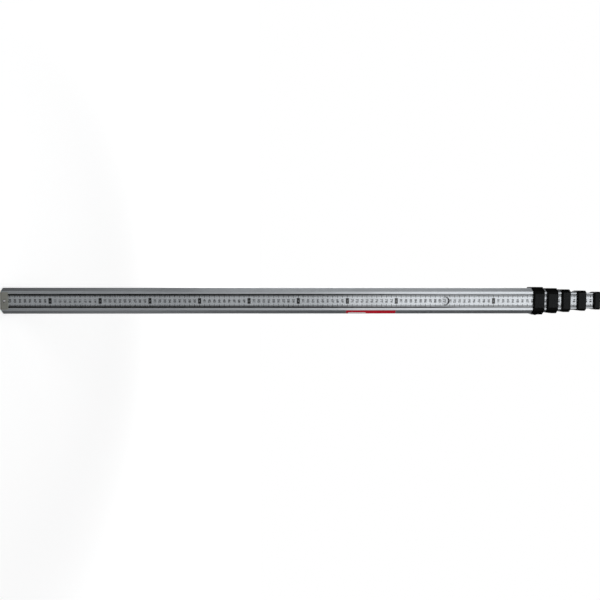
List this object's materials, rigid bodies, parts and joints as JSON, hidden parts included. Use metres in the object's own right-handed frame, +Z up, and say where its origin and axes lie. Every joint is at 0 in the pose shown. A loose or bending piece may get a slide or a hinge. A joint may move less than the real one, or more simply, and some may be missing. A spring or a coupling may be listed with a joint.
{
  "type": "leveling staff",
  "caption": "Telescopic aluminium leveling staff with nested tubes, printed scale strips, black collars, sprung lock buttons and a steel foot plate.",
  "frame": {"origin": "centre of the foot plate's sole, which is the zero of the scale", "axes": "+Z up along the staff, -Y out of the millimetre-scale face, +Y out of the graduated front face, +X out of the narrow side next to the label"},
  "size_m": [0.0582, 0.038, 1.2275],
  "materials": {
    "anodised_tube": "satin anodised, drawn lengthwise",
    "scale_strip": "white lacquered front strip and printing ink",
    "silver_strip": "satin silver film",
    "collar_plastic": "black moulded, fine texture",
    "plug_plastic": "dark moulded",
    "button_plastic": "black moulded",
    "foot_steel": "zinc plated sheet",
    "rivet_aluminium": "bright",
    "spring_steel": "blued spring steel",
    "label_vinyl": "red sticker with a white field"
  },
  "bodies": {
    "section_1": {"tube_1": "anodised_tube", "back_scale_1": "silver_strip", "front_scale_1": "scale_strip", "collar_1": "collar_plastic", "collar_rivets_1": "rivet_aluminium", "foot_plate": "foot_steel", "foot_plug": "plug_plastic", "foot_rivets": "rivet_aluminium", "side_label": "label_vinyl"},
    "section_2": {"tube_2": "anodised_tube", "back_scale_2": "silver_strip", "front_scale_2": "scale_strip", "collar_2": "collar_plastic", "collar_rivets_2": "rivet_aluminium", "guide_plug_2": "plug_plastic", "plug_rivets_2": "rivet_aluminium", "lock_spring_2": "spring_steel"},
    "button_2": {"lock_button_2": "button_plastic"},
    "section_3": {"tube_3": "anodised_tube", "back_scale_3": "silver_strip", "front_scale_3": "scale_strip", "collar_3": "collar_plastic", "collar_rivets_3": "rivet_aluminium", "guide_plug_3": "plug_plastic", "plug_rivets_3": "rivet_aluminium", "lock_spring_3": "spring_steel"},
    "button_3": {"lock_button_3": "button_plastic"},
    "section_4": {"tube_4": "anodised_tube", "back_scale_4": "silver_strip", "front_scale_4": "scale_strip", "collar_4": "collar_plastic", "collar_rivets_4": "rivet_aluminium", "guide_plug_4": "plug_plastic", "plug_rivets_4": "rivet_aluminium", "lock_spring_4": "spring_steel"},
    "button_4": {"lock_button_4": "button_plastic"},
    "section_5": {"tube_5": "anodised_tube", "back_scale_5": "silver_strip", "front_scale_5": "scale_strip", "top_cap": "collar_plastic", "cap_rivets": "rivet_aluminium", "guide_plug_5": "plug_plastic", "plug_rivets_5": "rivet_aluminium", "lock_spring_5": "spring_steel"},
    "button_5": {"lock_button_5": "button_plastic"}
  },
  "joints": [
    {"name": "section_2_slide", "type": "slide", "parent": "section_1", "child": "section_2", "axis": [0, 0, 1], "range_m": [0, 0.8705]},
    {"name": "section_3_slide", "type": "slide", "parent": "section_2", "child": "section_3", "axis": [0, 0, 1], "range_m": [0, 0.9718]},
    {"name": "section_4_slide", "type": "slide", "parent": "section_3", "child": "section_4", "axis": [0, 0, 1], "range_m": [0, 0.9662]},
    {"name": "section_5_slide", "type": "slide", "parent": "section_4", "child": "section_5", "axis": [0, 0, 1], "range_m": [0, 0.964]},
    {"name": "button_2_press", "type": "slide", "parent": "section_2", "child": "button_2", "axis": [0, 1, 0], "range_m": [0, 0.0016], "stiffness_N_per_m": 1500, "springref_m": -0.003, "deforming": ["lock_spring_2"]},
    {"name": "button_3_press", "type": "slide", "parent": "section_3", "child": "button_3", "axis": [0, 1, 0], "range_m": [0, 0.0016], "stiffness_N_per_m": 1500, "springref_m": -0.003, "deforming": ["lock_spring_3"]},
    {"name": "button_4_press", "type": "slide", "parent": "section_4", "child": "button_4", "axis": [0, 1, 0], "range_m": [0, 0.0016], "stiffness_N_per_m": 1500, "springref_m": -0.003, "deforming": ["lock_spring_4"]},
    {"name": "button_5_press", "type": "slide", "parent": "section_5", "child": "button_5", "axis": [0, 1, 0], "range_m": [0, 0.0016], "stiffness_N_per_m": 1500, "springref_m": -0.003, "deforming": ["lock_spring_5"]}
  ]
}
